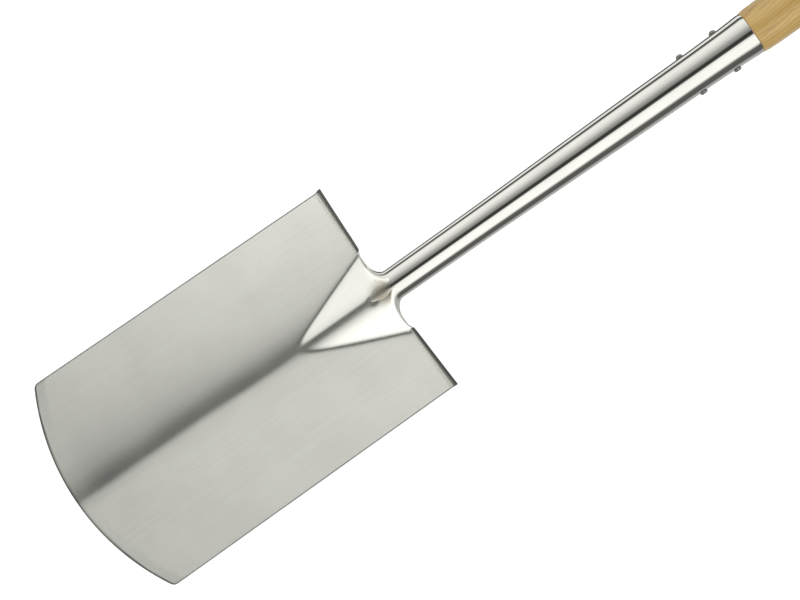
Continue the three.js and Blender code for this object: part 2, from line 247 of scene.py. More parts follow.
def upper_edge(x):
    """Distance of the shoulders below the treads; they sweep up into the neck."""
    size = np.abs(x)
    reach = SHOULDER_HALF_WIDTH - NECK_RADIUS
    sweep = np.clip((SHOULDER_HALF_WIDTH - size) / reach, 0, 1)
    swept = 1 - (1 - sweep ** SHOULDER_FULLNESS) ** (1 / SHOULDER_FULLNESS)
    shoulder = SHOULDER_DROP - (NECK_RISE + SHOULDER_DROP) * swept
    shoulder = shoulder * (1 - smoothstep(33 * MM, TREAD_START, size))
    return np.where(size >= TREAD_START, 0.0, shoulder)


def edge_distance(x, down):
    """Distance to the outline of the shoulders and the neck's side, seen from the front."""
    across = np.linspace(NECK_RADIUS, TREAD_START, 160)
    outline = np.stack([across, upper_edge(across)], axis=-1)
    side = np.stack([np.full(20, NECK_RADIUS), np.linspace(-NECK_RISE, -3 * NECK_RISE, 20)], axis=-1)
    outline = np.concatenate([outline, side])
    places = np.stack([np.abs(x), down], axis=-1)
    nearest = np.full(x.shape, 1.0)
    for point in outline:
        nearest = np.minimum(nearest, np.hypot(places[..., 0] - point[0], places[..., 1] - point[1]))
    return nearest


def seam_y(x):
    """Where the front and rear sheets meet along the shoulders."""
    down = upper_edge(x)
    behind = on_blade(x, down, dish(x, down) + frog(x, down) - SHEET)[..., 1]
    return (behind + 0.4 * MM) * smoothstep(NECK_RADIUS, SHOULDER_HALF_WIDTH, np.abs(x))


def neck_share(x, down):
    """How much of the surface follows the round neck instead of the blade, from 0 to 1."""
    across = 1 - smoothstep(9 * MM, 24 * MM, np.abs(x))
    return smoothstep(-9 * MM, 8 * MM, -down) * across


def roll_over(points, x, down, side):
    """Turn a face round into the neck and the edge of the shoulders; side is -1 for the front."""
    share = neck_share(x, down)
    roll = mix(mix(4 * MM, 1.0 * MM, smoothstep(16 * MM, 36 * MM, np.abs(x))), NECK_RADIUS, share)
    near = 1 - np.clip(edge_distance(x, down) / roll, 0, 1)
    fullness = np.sqrt(np.clip(1 - near ** 2, 0, 1))
    seam = seam_y(x)
    face = mix(points[..., 1], side * NECK_RADIUS, share)
    turned = seam + (face - seam) * fullness
    within = np.abs(x) < TREAD_START
    points[..., 1] = np.where(within, turned, points[..., 1])
    upright = smoothstep(-16 * MM, 0, -down) * (1 - smoothstep(28 * MM, 37 * MM, np.abs(x)))
    points[..., 2] = mix(points[..., 2], TREAD_Z - down, upright)
    return points


def half_columns():
    centre = NECK_RADIUS * 0.9985 * np.sin(np.linspace(0, math.pi / 2, 24))
    sweep = np.linspace(0, math.pi / 2, 15)[1:]
    fillet = NECK_RADIUS + (SHOULDER_HALF_WIDTH - NECK_RADIUS) * (1 - np.cos(sweep))
    shoulder = np.linspace(SHOULDER_HALF_WIDTH, TREAD_START - 0.6 * MM, 10)[1:]
    wing = np.linspace(TREAD_START, HALF_BLADE - CORNER_RADIUS, 34)
    rim = HALF_BLADE - CORNER_RADIUS * (1 - np.sin(np.linspace(0, math.pi / 2, 9)[1:]))
    return np.concatenate([centre, fillet, shoulder, wing, rim])


def both_sides(half):
    return np.concatenate([-half[:0:-1], half])


FROG_ROWS = 112 * MM


def face_rows(x):
    """Distances below the treads for one column, from the cutting edge up to the fold or the shoulder."""
    low_line, high_line = 262 * MM, 17 * MM
    bottom = cutting_edge(x)
    top = np.where(np.abs(x) >= TREAD_START, FOLD_RADIUS, upper_edge(x) + 0.02 * MM)
    fan_low = mix(bottom, low_line, np.linspace(0, 1, 14)[:-1] ** 1.6)
    middle = np.concatenate([np.linspace(low_line, FROG_ROWS, 56)[:-1],
                             np.linspace(FROG_ROWS, high_line, 106)])
    fan_high = mix(high_line, top, np.sin(np.linspace(0, math.pi / 2, 30)[1:]))
    return np.concatenate([fan_low, middle, fan_high])


def blade_ring(x):
    """Section of the blade across its thickness at one column: front up, round the tread, back down."""
    rows = face_rows(x)
    column = np.full(rows.shape, x)
    height = dish(column, rows) + frog(column, rows) - dimple(column, rows)
    worn = np.clip((rows - (cutting_edge(x) - EDGE_WEAR)) / EDGE_WEAR, 0, 1)
    rim = np.clip(1 - (HALF_BLADE - abs(x)) / (0.5 * MM), 0, 1) ** 2 * SIDE_ROUNDING
    front = roll_over(on_blade(column, rows, height - 0.1 * MM * worn - rim), column, rows, -1)
    back = roll_over(on_blade(column, rows, height - SHEET * (1 - 0.2 * worn) + rim), column, rows, -1)
    inward = np.clip(edge_distance(column, rows) / EDGE_WALL, 0, 1)
    shell = np.abs(column) < TREAD_START
    back[..., 1] = np.where(shell, np.maximum(back[..., 1], front[..., 1] + SHEET * inward), back[..., 1])
    if abs(x) < TREAD_START:
        steps = np.linspace(0.02, 0.0, 14)[:, None] * MM
        lip_front = np.repeat(front[-1:], 14, axis=0) + steps * np.array([0, 0, -0.2])
        lip_back = np.repeat(back[-1:], 14, axis=0) + steps * np.array([0, 0, -0.2])
    else:
        outward = (abs(x) - TREAD_START) / (HALF_BLADE - TREAD_START)
        started = 1 - min((abs(x) - TREAD_START) / (7 * MM), 1)
        depth = mix(TREAD_DEPTH_INNER, TREAD_DEPTH_OUTER, outward)
        depth = mix(3.9 * MM, depth, math.sqrt(1 - started ** 2))
        base = height[-1]
        bend = np.linspace(0, math.pi / 2, 8)[1:]
        run = np.linspace(FOLD_INSIDE, depth - 0.7 * MM, 5)[1:]
        tip = np.array([depth - 0.25 * MM, depth])
        tip_in = np.array([1.75 * MM, 1.2 * MM]) + rim
        tip_out = np.array([0.25 * MM, 0.8 * MM]) - rim
        inner = [(FOLD_INSIDE * (1 - np.cos(a)), FOLD_RADIUS - FOLD_INSIDE * np.sin(a) + rim) for a in bend]
        inner += [(h, SHEET + rim) for h in run] + list(zip(tip, tip_in))
        outer = [(FOLD_INSIDE - FOLD_RADIUS * np.cos(a), FOLD_RADIUS * (1 - np.sin(a)) + rim) for a in bend]
        outer += [(h, rim) for h in run] + list(zip(tip, tip_out))
        inner = np.array(inner + [inner[-1]])
        outer = np.array(outer + [outer[-1]])
        lip_front = on_blade(x, inner[:, 1], base + inner[:, 0])
        lip_back = on_blade(x, outer[:, 1], base + outer[:, 0])
    return np.concatenate([front, lip_front, lip_back[::-1], back[::-1]])


def along_blade(vertices):
    """Straightened coordinates of points on the blade: across, above the plane, up from the treads."""
    x, y, z = np.array(vertices).T
    y, z = y - PLANE_Y, z - TREAD_Z
    height = z * math.sin(CRANK) - y * math.cos(CRANK)
    return np.stack([x, height, y * math.sin(CRANK) + z * math.cos(CRANK)], axis=-1)


def build_blade(material):
    """The pressed sheet, with painted shade near black along its cut edges and on the ends of the treads.
    """
    columns = both_sides(half_columns())
    rings = np.array([blade_ring(x) for x in columns])
    vertices, faces = loft(rings[:, ::-1], caps="strip")
    grain = along_blade(vertices)
    x, height, rise = grain.T
    lip = height - dish(x, -rise) - frog(x, -rise)
    size = np.abs(x)
    # Painted shade: marks the turned-over tread lips and the cut outline of the blade for a near-black
    # colour.
    painted_shade = smoothstep(2.4 * MM, 3.4 * MM, lip) * (rise > -3.6 * MM) * (size > TREAD_START - 0.1 * MM)
    outline_shade = np.maximum(smoothstep(HALF_BLADE - 1.2 * MM, HALF_BLADE - 0.3 * MM, size),
                         smoothstep(1.9 * MM, 1.1 * MM, cutting_edge(x) + rise))
    painted_shade = np.maximum(painted_shade, 0.9 * outline_shade)
    new_piece("blade_pressing", vertices, faces, material, "blade", "blade_steel", 50, grain, painted_shade)


# ---------------------------------------------------------------- socket
SOCKET_PROFILE = [(8, 13.0), (90, 13.7), (170, 15.0), (250, 16.3), (325, 17.2), (348, 17.8), (367, 18.8)]


def socket_radius(height):
    """Outside radius at a height above the treads."""
    return smooth_curve(np.array(SOCKET_PROFILE) * MM, height)[..., 0]


def mouth_dip(points):
    """Lowers the mouth of the socket, and the wood in it, a little at the front and the back."""
    sideways = points[..., 0] ** 2 / np.maximum(points[..., 0] ** 2 + points[..., 1] ** 2, (1 * MM) ** 2)
    reach = smoothstep(34 * MM, 0, np.abs(points[..., 2] - SOCKET_TOP_Z))
    points[..., 2] -= MOUTH_DIP * (1 - sideways) * reach
    return points


def build_socket(material):
    """The rolled tube, with a faint closed seam down its back."""
    around = 144
    angles = np.linspace(0, 2 * math.pi, around, endpoint=False)
    top = SOCKET_TOP_Z - TREAD_Z
    mouth = top - 9 * MM
    heights = np.concatenate([np.linspace(NECK_RISE, mouth, 78), np.linspace(mouth, top, 5)[1:]])
    outside = np.stack([heights, socket_radius(heights)], axis=-1)
    inside = np.stack([heights[::-8], socket_radius(heights[::-8]) - SOCKET_WALL], axis=-1)
    profile = round_corners([*outside, *inside], 0.5 * MM)
    rings = []
    for height, radius in profile:
        radius = radius - MOUTH_NARROWING * float(smoothstep(top - 3.2 * MM, top, height))
        seam = 0.15 * MM * np.exp(-((angles - math.pi / 2) * radius / (0.5 * MM)) ** 2)
        rings.append(np.stack([(radius - seam) * np.cos(angles), (radius - seam) * np.sin(angles),
                               np.full(around, TREAD_Z + height)], axis=-1))
    rings = mouth_dip(np.array(rings))
    vertices, faces = loft(rings, caps="none")
    last = (len(rings) - 1) * around
    faces += [(last + j, last + (j + 1) % around, (j + 1) % around, j) for j in range(around)]
    new_piece("socket_tube", vertices, faces, material, "socket", "socket_steel", sharp=35)


# ---------------------------------------------------------------- rear plate of the frog
def rear_cone(x, down):
    """How far a half cone stands out of the plate, from the full tube at the neck to nothing at its tip."""
    left = 1 - np.clip(down / PLATE_LENGTH, 0, 1)
    across = np.clip(np.abs(x) / np.maximum(CONE_SPREAD * NECK_RADIUS * left, 0.01 * MM), 0, 1)
    return CONE_HEIGHT * left * (1 - across ** 2) ** 1.5


def build_back_plate(material):
    """A V of sheet behind the frog, raised into a half cone that runs up into the neck."""
    half_top = PLATE_HALF_WIDTH - 0.3 * MM
    side = np.array([x for x in half_columns() if x < half_top - 0.6 * MM])
    rim = half_top - 1.2 * MM * (1 - np.sin(np.linspace(0.6, math.pi / 2, 6)))
    columns = both_sides(np.unique(np.concatenate([side[side < rim[0] - 0.2 * MM], rim]))) / half_top
    rings = []
    for v in np.sin(np.linspace(0, math.pi / 2, 110)) ** 0.9:
        level = mix(PLATE_LENGTH, SHOULDER_DROP, v)
        half = PLATE_HALF_WIDTH * math.sqrt(max(1 - level / PLATE_LENGTH, 0.004))
        x = columns * half
        down = level - v ** 6 * (SHOULDER_DROP - upper_edge(x)) + 0.02 * MM
        inset = np.clip((half - np.abs(x)) / (1.4 * MM), 0, 1)
        pointed = math.sqrt(1 - (1 - min(v / 0.02, 1)) ** 2)
        thick = SHEET * np.sqrt(np.clip(1 - (1 - inset) ** 2, 0, 1)) * pointed
        outer = on_blade(x, down, dish(x, down) - SHEET - thick)
        outer[..., 1] += rear_cone(x, down)
        outer = roll_over(outer, x, down, 1)
        inner = outer.copy()
        wall = np.minimum(thick, SHEET * np.clip(edge_distance(x, down) / EDGE_WALL, 0, 1)) + 0.01 * MM
        inner[..., 1] -= wall
        rings.append(np.concatenate([inner, outer[::-1]]))
    vertices, faces = loft(np.array(rings), caps="strip")
    new_piece("frog_rear_plate", vertices, faces, material, "frog_back_plate", "blade_steel", 50,
              along_blade(vertices))


def build_seam(material, side, label):
    """The ground weld that joins the two sheets along one shoulder and up the side of the neck."""
    x = NECK_RADIUS + (TREAD_START - 1.5 * MM - NECK_RADIUS) * np.linspace(0, 1, 70) ** 2
    path = np.stack([side * x, seam_y(x), TREAD_Z - upper_edge(x) - 0.5 * MM], axis=-1)
    path[:, 0] -= side * 0.5 * MM
    tangent = np.gradient(path, axis=0)
    tangent /= np.linalg.norm(tangent, axis=1)[:, None]
    back = np.cross(tangent, [0, 1, 0])
    back /= np.linalg.norm(back, axis=1)[:, None]
    angles = np.linspace(0, 2 * math.pi, 20, endpoint=False)
    along = np.linspace(0, 1, len(path))
    size = WELD_RADIUS * np.sqrt(np.clip(1 - (2 * along - 1) ** 16, 0.01, 1))
    c, d = np.cos(angles)[:, None], 1.5 * np.sin(angles)[:, None] * np.array([0, 1, 0])
    rings = [centre + r * (c * out + d) for centre, r, out in zip(path, size, back)]
    vertices, faces = loft(np.array(rings)[:, ::-1])
    new_piece("seam_" + label, vertices, faces, material, "frog_back_plate", "blade_steel", 60,
              along_blade(vertices))


# ---------------------------------------------------------------- foot of the socket over the frog
THROAT_PROFILE = [(-20, 9.7), (-16, 10.35), (-12, 11.0), (-8, 11.65), (-4, 12.25), (0, 12.75), (4, 13.02),
                  (8, 13.04)]


def build_throat(material):
    """The front of the socket, running down in a cone until it sinks into the frog's ridge."""
    angles = np.radians(np.linspace(-80, 80, 97))
    rings = []
    for height in np.linspace(NECK_RISE - 0.1 * MM, THROAT_FOOT, 84):
        radius = smooth_curve(np.array(THROAT_PROFILE) * MM, height)[..., 0]
        around = np.concatenate([angles, angles[::-1]])
        radii = np.repeat([radius, radius - 1.5 * MM], len(angles))
        x, y = radii * np.sin(around), -radii * np.cos(around)
        rings.append(np.stack([x, y, np.full(x.shape, TREAD_Z + height)], axis=-1))
    vertices, faces = loft(np.array(rings)[:, ::-1], caps="strip")
    new_piece("socket_throat", vertices, faces, material, "socket", "socket_steel", sharp=50)


# ---------------------------------------------------------------- turned parts and fasteners
def turned(name, profile, centre, material, node, slot, around=64, ring=False):
    """A solid of revolution about X from a profile of (x, radius); a ring has a closed profile."""
    angles = np.linspace(0, 2 * math.pi, around, endpoint=False)
    rings = np.array([np.stack([np.full(around, x), r * np.cos(angles), r * np.sin(angles)], axis=-1)
                      for x, r in profile])
    vertices, faces = loft(rings, caps="none" if ring else "fan")
    if ring:
        last = (len(rings) - 1) * around
        faces += [(last + j, last + (j + 1) % around, (j + 1) % around, j) for j in range(around)]
    grain = np.array(vertices)[:, [1, 2, 0]] + [0.11, 0.07, 0.3]
    vertices = np.array(vertices) + np.array(centre)
    new_piece(name, vertices, faces, material, node, slot, sharp=35, grain=grain)


CLENCHED_END = [(0, 3.4), (1.3, 3.15), (2.0, 2.2), (2.1, 0.9), (1.8, 0.2)]
WASHERS = ("crotch_washer_left", "crotch_washer_right", "grip_washer_left", "grip_washer_right")
# Node, radius of the pin, radius of its heads and their height
PINS = (("crotch_rivet", 2.2 * MM, 4 * MM, 1.6 * MM), ("grip_rod", 3 * MM, 5.5 * MM, 2.4 * MM))


def build_fasteners(material):
    """Socket rivets, washers, and the two pins with a domed head at each end."""
    for node in ("socket_rivet_upper", "socket_rivet_lower"):
        z = (top_of(node)[2] + foot_of(node)[2]) / 2
        seat = float(socket_radius(z - TREAD_Z))
        dome = [(-seat - 2.75 * MM * math.cos(a), max(3.2 * math.sin(a), 0.15) * MM)
                for a in np.linspace(0, math.pi / 2, 12)]
        clench = [(seat + x * MM, r * MM) for x, r in CLENCHED_END]
        profile = dome + [(-seat, 2.5 * MM), (seat, 2.5 * MM)] + round_corners(clench, 0.5 * MM)
        turned(node + "_fine", profile, (0, 0, z), material, node, "rivet_steel", around=40)
    for node in WASHERS:
        low, high = np.array(foot_of(node)), np.array(top_of(node))
        middle, half = (low + high) / 2, (high - low) / 2
        hole = (2.5 if "crotch" in node else 3.3) * MM
        outline = [(-half[0], hole), (-half[0], half[2]), (half[0], half[2]), (half[0], hole)]
        profile = round_corners(outline, 0.45 * MM, closed=True)
        turned(node + "_fine", profile, middle, material, node, "rivet_steel", around=72, ring=True)
    for node, radius, head, height in PINS:
        low, high = np.array(foot_of(node)), np.array(top_of(node))
        seat = high[0] - height
        dome = [(seat + height * math.sin(a), max(head * math.cos(a), 0.2 * MM))
                for a in np.linspace(0.12, math.pi / 2, 12)]
        side = [(seat, radius), (seat, head * 0.97)] + dome
        profile = [(-x, r) for x, r in side[::-1]] + side
        centre = (0, 0, (low[2] + high[2]) / 2)
        turned(node + "_fine", profile, centre, material, node, "rivet_steel", around=56)


def build_grip(material):
    """A turned crossbar, bored for its rod and fuller in the middle."""
    half = top_of("grip")[0]
    full = (top_of("grip")[2] - foot_of("grip")[2]) / 2
    places = np.linspace(-half, half, 90)
    side = [(x, full - 2.5 * MM * (x / half) ** 2) for x in places]
    profile = round_corners([(-half, 3.3 * MM), *side, (half, 3.3 * MM)], 1.6 * MM, closed=True, steps=5)
    turned("grip_turned", profile, (0, 0, ROD_Z), material, "grip", "ash", around=112, ring=True)


# ---------------------------------------------------------------- ash shaft with its split head
BODY_PROFILE = [(0.3, 18.6), (2, 19.0), (6, 19.5), (14, 19.8), (60, 19.2), (120, 17.9), (252, 17.3)]
ARM_PATH = [(8.8, 0), (8.9, 34), (13, 64), (26, 94), (43, 122), (52, 150), (54, 176)]
ARM_WIDTH = 17 * MM
EYE_RADIUS = 16.3 * MM


def arm_rings(angles):
    """Sections of the right arm from the foot of the split to the rounded eye, with grain coordinates."""
    eye_x = ARM_PATH[-1][0] * MM
    path = np.array([*(np.array(ARM_PATH) * MM + [0, HEAD_Z]), (eye_x, ROD_Z), (eye_x, ROD_Z + EYE_RADIUS)])
    steps = np.linalg.norm(np.diff(path, axis=0), axis=1)
    lengths = np.concatenate([[0], np.cumsum(steps)])
    total = lengths[-1]
    at = np.concatenate([np.linspace(0, total - EYE_RADIUS, 130)[1:],
                         total - EYE_RADIUS * (1 - np.sin(np.linspace(0, 1.5, 26)[1:]))])
    stations = np.column_stack([lengths, path])
    middle = smooth_curve(stations, at)
    tangent = smooth_curve(stations, at + 0.5 * MM) - smooth_curve(stations, at - 0.5 * MM)
    tangent /= np.linalg.norm(tangent, axis=1)[:, None]
    rings, grain = [], []
    for place, (x, z), (tx, tz) in zip(at, middle, tangent):
        over = np.clip((z - ROD_Z) / EYE_RADIUS, 0, 1)
        half_width = ARM_WIDTH / 2 * (1 - over ** 7) ** 0.4
        half_depth = mix(15.5 * MM, EYE_RADIUS, smoothstep(ROD_Z - 50 * MM, ROD_Z, z))
        half_depth = half_depth * math.sqrt(1 - over ** 2)
        power = 2 / 2.5
        c, d = np.cos(angles), np.sin(angles)
        oval_u = half_width * np.sign(c) * np.abs(c) ** power
        oval_v = half_depth * np.sign(d) * np.abs(d) ** power
        disc_u = -ARM_WIDTH / 2 + np.where(c > 0, SHAFT_RADIUS * c, 0)
        disc_v = SHAFT_RADIUS * d
        share = smoothstep(0, 75 * MM, place)
        u, v = mix(disc_u, oval_u, share), mix(disc_v, oval_v, share)
        px, pz = x + u * tz, z - u * tx
        seat = (np.hypot(v, pz - HEAD_RIVET_Z) < 7.2 * MM) & (c > 0)
        px = np.where(seat, np.minimum(px, 16.9 * MM), px)
        rings.append(np.stack([px, v, pz], axis=-1))
        grain.append(np.stack([8.8 * MM + u, v, np.full(u.shape, HEAD_Z + place)], axis=-1))
    return np.array(rings), np.array(grain)


def build_shaft(material):
    """Tenon and round shaft, split at the top into two arms that share its last ring."""
    around = 112
    angles = -math.pi / 2 + np.linspace(0, 2 * math.pi, around, endpoint=False)
    foot_z = foot_of("shaft")[2]
    tenon_z = np.linspace(foot_z, SOCKET_TOP_Z, 24)
    tenon = [(z, float(socket_radius(z - TREAD_Z)) - 1.9 * MM) for z in tenon_z]
    rise = np.concatenate([np.linspace(0.3, 6, 9), np.linspace(6, 251, 132)[1:]]) * MM
    body = np.column_stack([SOCKET_TOP_Z + rise, smooth_curve(np.array(BODY_PROFILE) * MM, rise)[:, 0]])
    split = [(HEAD_Z, SHAFT_RADIUS)]
    profile = round_corners([*tenon, *body[:2]], 0.3 * MM)[:-1] + [*body[1:-1], *split]
    circles = np.array([np.stack([r * np.cos(angles), r * np.sin(angles), np.full(around, z)], axis=-1)
                        for z, r in profile])
    circles = mouth_dip(circles)
    vertices = list(circles.reshape(-1, 3)) + [np.array([0, 0, foot_z])]
    straight = list(vertices)
    faces = []

    def skin(lower, upper, flip=False):
        for j in range(around):
            k = (j + 1) % around
            quad = (lower[j], lower[k], upper[k], upper[j])
            faces.append(quad[::-1] if flip else quad)

    index = [list(range(i * around, (i + 1) * around)) for i in range(len(circles))]
    for lower, upper in zip(index[:-1], index[1:]):
        skin(lower, upper)
    faces += [(index[0][(j + 1) % around], index[0][j], len(vertices) - 1) for j in range(around)]
    half = around // 2
    chord = {j: len(vertices) + j - half - 1 for j in range(half + 1, around)}
    for j in chord:
        vertices.append(np.array([0, SHAFT_RADIUS * math.sin(angles[j]), HEAD_Z]))
        straight.append(vertices[-1])
    rings, grain = arm_rings(angles)
    for side in (1, -1):
        last = index[-1]
        lower = [last[j] if side > 0 else last[-j % around] for j in range(half + 1)] + list(chord.values())
        for ring, lines in zip(rings, grain):
            upper = list(range(len(vertices), len(vertices) + around))
            vertices += list(ring * [side, 1, 1])
            straight += list(lines * [side, 1, 1])
            skin(lower, upper, flip=side < 0)
            lower = upper
        vertices.append(rings[-1].mean(axis=0) * [side, 1, 1])
        straight.append(grain[-1].mean(axis=0) * [side, 1, 1])
        for j in range(around):
            cap = (lower[j], lower[(j + 1) % around], len(vertices) - 1)
            faces.append(cap if side > 0 else cap[::-1])
    new_piece("shaft_ash", vertices, faces, material, "shaft", "ash", sharp=45, grain=straight)


def build_wedge(material):
    """Fills the foot of the fork between the arms, with a hollowed top."""
    rings, _ = arm_rings(np.array([math.pi]))
    inner_x, inner_z = rings[:, 0, 0], rings[:, 0, 2]
    foot, top = HEAD_Z + 44 * MM, HEAD_Z + 88 * MM
    corner = np.linspace(0, 2 * math.pi, 96, endpoint=False)
    across = np.sign(np.cos(corner)) * np.abs(np.cos(corner)) ** 0.35
    deep = np.sign(np.sin(corner)) * np.abs(np.sin(corner)) ** 0.35
    layers = [(v, 0) for v in np.linspace(0, 1, 40)] + [(1, inset) for inset in (0.06, 0.2, 0.45, 0.75)]
    rings = []
    for v, inset in layers:
        sag = 11 * MM * (1 - across ** 2 * (1 - inset) ** 2)
        z = foot + v * (top - sag - foot) - 0.35 * MM * (v >= 1) * (inset == 0)
        half = np.interp(z, inner_z, inner_x) + 0.4 * MM
        shrink = 1 - inset
        edge = 0.5 * MM * (v >= 1) * (inset == 0)
        rings.append(np.stack([across * half * shrink, deep * (13 * MM * shrink - edge), z], axis=-1))
    vertices, faces = loft(np.array(rings))
    grain = np.array(vertices) + [0.23, 0.31, 0.9]
    new_piece("crotch_wedge_ash", vertices, faces, material, "crotch_wedge", "ash", sharp=45, grain=grain)


# ---------------------------------------------------------------- materials
class Nodes:
    """A short way to write node trees: every call adds one node and returns its first output."""

    def __init__(self, tree):
        self.tree = tree

    def add(self, kind, inputs=(), output=0, **settings):
        node = self.tree.nodes.new(kind)
        for key, value in settings.items():
            setattr(node, key, value)
        for key, value in dict(inputs).items():
            if isinstance(value, bpy.types.NodeSocket):
                self.tree.links.new(value, node.inputs[key])
            else:
                node.inputs[key].default_value = value
        return node.outputs[output]

    def maths(self, operation, *values):
        return self.add("ShaderNodeMath", dict(enumerate(values)), operation=operation)

    def vector(self, operation, *values, output=0):
        return self.add("ShaderNodeVectorMath", dict(enumerate(values)), output=output, operation=operation)

    def noise(self, place, scale, stretch=(1, 1, 1), detail=4):
        """Noise from 0 to 1, drawn out along any axis whose stretch is small."""
        stretched = self.vector("MULTIPLY", place, stretch)
        settings = {"Vector": stretched, "Scale": scale, "Detail": detail, "Roughness": 0.55}
        return self.add("ShaderNodeTexNoise", settings)

    def blend(self, factor, first, second, kind="MIX"):
        colours = {0: factor, 6: first, 7: second}
        return self.add("ShaderNodeMix", colours, output=2, data_type="RGBA", blend_type=kind)

    def range(self, value, low, high, to_low=0.0, to_high=1.0):
        ends = {"Value": value, "From Min": low, "From Max": high, "To Min": to_low, "To Max": to_high}
        return self.add("ShaderNodeMapRange", ends, interpolation_type="SMOOTHSTEP")

    def ramp(self, factor, stops):
        node = self.tree.nodes.new("ShaderNodeValToRGB")
        elements = node.color_ramp.elements
        while len(elements) < len(stops):
            elements.new(0.5)
        for element, (place, colour) in zip(elements, stops):
            element.position = place
            element.color = colour
        self.tree.links.new(factor, node.inputs["Fac"])
        return node.outputs["Color"]


def grey(value):
    return (value, value, value, 1)


def new_material(name, metallic, colour, roughness, bump, bump_strength, bump_depth, coat=0.0):
    """Joins up one surface; colour, roughness and bump are functions of (nodes, grain coordinates)."""
    material = bpy.data.materials.new(name)
    material.use_nodes = True
    tree = material.node_tree
    shader = tree.nodes["Principled BSDF"]
    shader.inputs["Metallic"].default_value = metallic
    shader.inputs["Coat Weight"].default_value = coat
    shader.inputs["Coat Roughness"].default_value = 0.12
    nodes = Nodes(tree)
    place = nodes.add("ShaderNodeAttribute", output="Vector", attribute_name="grain")
    tree.links.new(colour(nodes, place), shader.inputs["Base Color"])
    tree.links.new(roughness(nodes, place), shader.inputs["Roughness"])
    relief = {"Strength": bump_strength, "Distance": bump_depth, "Height": bump(nodes, place)}
    tree.links.new(nodes.add("ShaderNodeBump", relief), shader.inputs["Normal"])
    return material


def near(nodes, place, point, inner, outer):
    """1 close to a point seen from the front, fading to 0 at the outer distance."""
    flat = nodes.vector("MULTIPLY", place, (1, 0, 1))
    distance = nodes.vector("DISTANCE", flat, (point[0], 0, point[1]), output="Value")
    return nodes.range(distance, inner, outer, 1.0, 0.0)


# Brownish colour of a painted reflection round the neck.
NECK_REFLECTION_BROWN = (0.36, 0.33, 0.25, 1)
# Near-black colour of painted shade on the tread lips and the blade's cut outline.
NEAR_BLACK_SHADE = (0.05, 0.05, 0.047, 1)


def steel_colour(nodes, place, base, neck_z):
    """Polished sheet: faint clouds and drawn lines, a brownish painted reflection at the neck, and
    near-black painted shade where the mesh marks it.
    """
    cloud = nodes.noise(place, 24, detail=3)
    lines = nodes.noise(place, 700, (1, 1, 0.012), detail=3)
    clouded = nodes.range(cloud, 0.3, 0.7, 0.97, 1.02)
    tone = nodes.maths("ADD", clouded, nodes.range(lines, 0.3, 0.7, -0.014, 0.014))
    colour = nodes.blend(1.0, base, nodes.vector("MULTIPLY", (1, 1, 1), tone), "MULTIPLY")
    # Painted reflection: a brownish patch mixed into the colour just below the neck.
    painted_reflection_share = nodes.maths("MULTIPLY", near(nodes, place, (1 * MM, neck_z - 5 * MM), 3 * MM, 14 * MM), 0.85)
    with_painted_reflection = nodes.blend(painted_reflection_share, colour, NECK_REFLECTION_BROWN)
    # Painted shade: the marked edges and tread lips go near black.
    painted_shade = nodes.add("ShaderNodeAttribute", output="Fac", attribute_name="painted_shade")
    return nodes.blend(nodes.maths("MULTIPLY", painted_shade, 0.95), with_painted_reflection, NEAR_BLACK_SHADE)


def blade_steel():
    def colour(nodes, place):
        return steel_colour(nodes, place, (0.665, 0.664, 0.612, 1), 0.0)

    def roughness(nodes, place):
        lines = nodes.noise(place, 420, (1, 1, 0.02))
        cloud = nodes.noise(place, 18, detail=2)
        height = nodes.add("ShaderNodeSeparateXYZ", {0: place}, output="Z")
        worn = nodes.range(height, -BLADE_LENGTH, -BLADE_LENGTH + 30 * MM, 0.04, 0.0)
        drawn = nodes.range(lines, 0.3, 0.7, 0.195, 0.205)
        polish = nodes.maths("ADD", drawn, nodes.range(cloud, 0.3, 0.7, -0.006, 0.006))
        return nodes.maths("ADD", polish, worn)

    def bump(nodes, place):
        lines = nodes.noise(place, 900, (1, 1, 0.015), detail=3)
        dents = nodes.noise(place, 45, (1, 1, 0.5), detail=1)
        return nodes.maths("MULTIPLY_ADD", dents, 1.5, lines)

    return new_material("blade_steel", 1.0, colour, roughness, bump, 0.022, 0.01 * MM)


def socket_steel():
    def colour(nodes, place):
        return steel_colour(nodes, place, (0.668, 0.66, 0.617, 1), TREAD_Z)

    def roughness(nodes, place):
        lines = nodes.noise(place, 600, (1, 1, 0.01))
        weld = near(nodes, place, (2 * MM, TREAD_Z - 8 * MM), 3 * MM, 19 * MM)
        hazed = nodes.maths("MULTIPLY", weld, 0.34)
        return nodes.maths("ADD", nodes.range(lines, 0.3, 0.7, 0.035, 0.075), hazed)

    def bump(nodes, place):
        lines = nodes.noise(place, 1100, (1, 1, 0.008), detail=2)
        ripple = nodes.noise(place, 60, (1, 1, 0.15), detail=1)
        return nodes.maths("MULTIPLY_ADD", ripple, 2.0, lines)

    return new_material("socket_steel", 1.0, colour, roughness, bump, 0.25, 0.01 * MM)


def rivet_steel():
    def colour(nodes, place):
        spots = nodes.noise(place, 520, detail=5)
        return nodes.blend(nodes.range(spots, 0.35, 0.7), (0.30, 0.295, 0.28, 1), (0.17, 0.165, 0.155, 1))

    def roughness(nodes, place):
        return nodes.range(nodes.noise(place, 340, detail=3), 0.3, 0.7, 0.24, 0.42)

    def bump(nodes, place):
        return nodes.noise(place, 420, detail=5)

    return new_material("rivet_steel", 1.0, colour, roughness, bump, 0.5, 0.05 * MM)


